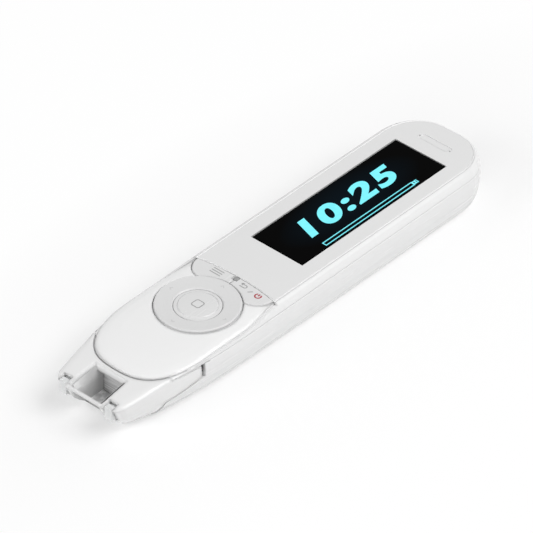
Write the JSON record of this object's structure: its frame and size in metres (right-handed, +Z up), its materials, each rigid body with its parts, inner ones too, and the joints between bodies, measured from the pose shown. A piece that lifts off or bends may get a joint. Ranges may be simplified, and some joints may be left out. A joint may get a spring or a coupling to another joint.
{
  "type": "scanning pen",
  "caption": "Slim handheld scanning pen with a display, a round navigation key, two arched keys and an open scanning nose with a sprung clear tip guide.",
  "frame": {"origin": "on the flat underside, below the middle of the pen's length and width", "axes": "+X is the pen's right-hand side when the display is read from the nose end, +Y runs from the scanning nose to the tail, +Z is up out of the display"},
  "size_m": [0.03, 0.135, 0.0135],
  "materials": {
    "casing": "satin white",
    "cover": "high gloss white",
    "panel": "gloss, very light grey",
    "nose": "satin white",
    "key": "satin white",
    "ring": "satin, light grey",
    "screen": "black, polished",
    "display": "black",
    "frame": "moulded grey",
    "ribbon": "amber film",
    "black": "black, matte",
    "metal": "bright plated",
    "clear": "clear, polished",
    "light": "smoked, unlit",
    "rubber": "matte grey",
    "board": "green solder mask",
    "battery": "silver pouch"
  },
  "bodies": {
    "pen_body": {"lower_shell": "casing", "upper_shell": "casing", "display_panel": "panel", "screen_glass": "screen", "display_module": "display", "display_frame": "frame", "display_ribbon": "ribbon", "speaker_slot_bar": "panel", "speaker_mesh": "black", "speaker": "black", "microphone": "metal", "front_cover": "cover", "status_light": "light", "key_mat": "rubber", "dome_switches": "metal", "main_board": "board", "shield_can": "metal", "battery": "battery", "data_socket": "metal", "nose_housing": "nose", "optics_shroud": "black", "scan_pane": "clear", "lens_barrel": "black", "image_sensor": "black", "sensor_board": "board", "scan_light_left": "light", "scan_light_right": "light", "tip_switch": "black", "casing_screw_front_left": "metal", "casing_screw_front_right": "metal", "casing_screw_rear_left": "metal", "casing_screw_rear_right": "metal"},
    "menu_key": {"menu_key": "key"},
    "return_key": {"return_key": "key"},
    "select_key": {"select_key": "key"},
    "nav_rocker": {"nav_fulcrum": "frame"},
    "nav_ring": {"nav_ring": "ring"},
    "tip_guide": {"tip_guide": "clear"}
  },
  "joints": [
    {"name": "menu_key_press", "type": "slide", "parent": "pen_body", "child": "menu_key", "axis": [0, 0, -1], "range_m": [0, 0.0004], "stiffness_N_per_m": 800},
    {"name": "return_key_press", "type": "slide", "parent": "pen_body", "child": "return_key", "axis": [0, 0, -1], "range_m": [0, 0.0004], "stiffness_N_per_m": 800},
    {"name": "select_key_press", "type": "slide", "parent": "pen_body", "child": "select_key", "axis": [0, 0, -1], "range_m": [0, 0.0004], "stiffness_N_per_m": 800},
    {"name": "nav_tilt_side", "type": "hinge", "parent": "pen_body", "child": "nav_rocker", "pos_m": [0, -0.0275, 0.0108], "axis": [0, 1, 0], "range_deg": [-1.8, 1.8], "stiffness_Nm_per_rad": 0.5},
    {"name": "nav_tilt_fore", "type": "hinge", "parent": "nav_rocker", "child": "nav_ring", "pos_m": [0, -0.0275, 0.0108], "axis": [1, 0, 0], "range_deg": [-1.8, 1.8], "stiffness_Nm_per_rad": 0.5},
    {"name": "tip_press", "type": "slide", "parent": "pen_body", "child": "tip_guide", "axis": [0, 1, 0], "range_m": [0, 0.0005], "stiffness_N_per_m": 600}
  ]
}
